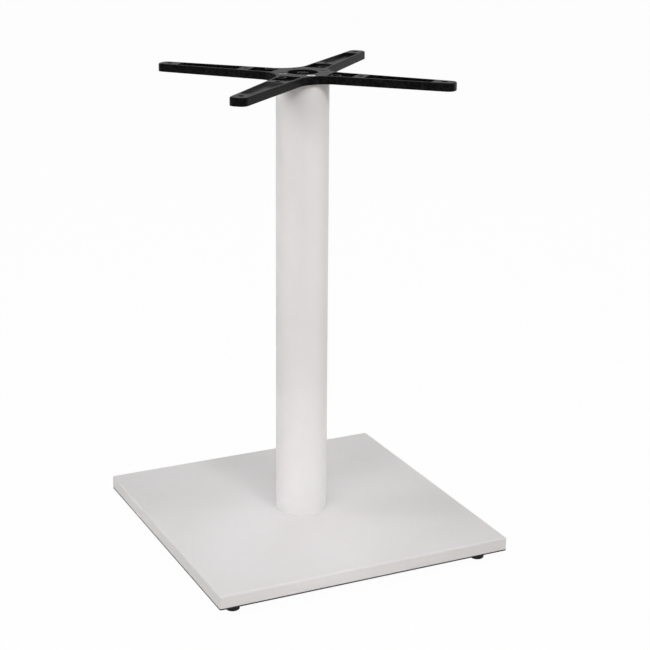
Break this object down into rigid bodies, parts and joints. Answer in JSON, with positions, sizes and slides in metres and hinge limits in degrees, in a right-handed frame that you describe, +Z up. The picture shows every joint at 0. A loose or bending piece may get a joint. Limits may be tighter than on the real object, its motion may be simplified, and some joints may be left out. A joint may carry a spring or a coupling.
{
  "type": "table base",
  "caption": "Square weighted floor plate, round column and star shaped top frame that screws under a table top.",
  "frame": {"origin": "centre of the footprint on the floor, under the column", "axes": "+Z up along the column, X and Y along the edges of the square plate"},
  "size_m": [0.45, 0.45, 0.7],
  "materials": {
    "light_powder_coat": "satin",
    "cast_iron": "matt",
    "zinc_steel": "satin",
    "black_coat": "satin",
    "black_steel": "satin",
    "rubber": "matt"
  },
  "bodies": {
    "root": {"ballast_plate": "cast_iron", "base_cover": "light_powder_coat", "column_foot_disc": "light_powder_coat", "column_top_plug": "black_steel", "column_tube": "light_powder_coat", "foot_pad_1": "rubber", "foot_pad_2": "rubber", "foot_pad_3": "rubber", "foot_pad_4": "rubber", "foot_screw_1": "zinc_steel", "foot_screw_2": "zinc_steel", "foot_screw_3": "zinc_steel", "foot_screw_4": "zinc_steel", "foot_washer_1": "zinc_steel", "foot_washer_2": "zinc_steel", "foot_washer_3": "zinc_steel", "foot_washer_4": "zinc_steel", "hub_screw_1": "zinc_steel", "hub_screw_2": "zinc_steel", "hub_screw_3": "zinc_steel", "hub_screw_4": "zinc_steel", "tie_rod": "black_steel", "tie_rod_lower_nut": "black_steel", "tie_rod_upper_nut": "black_steel", "tie_rod_washer": "black_steel", "top_star": "black_coat"}
  },
  "joints": []
}
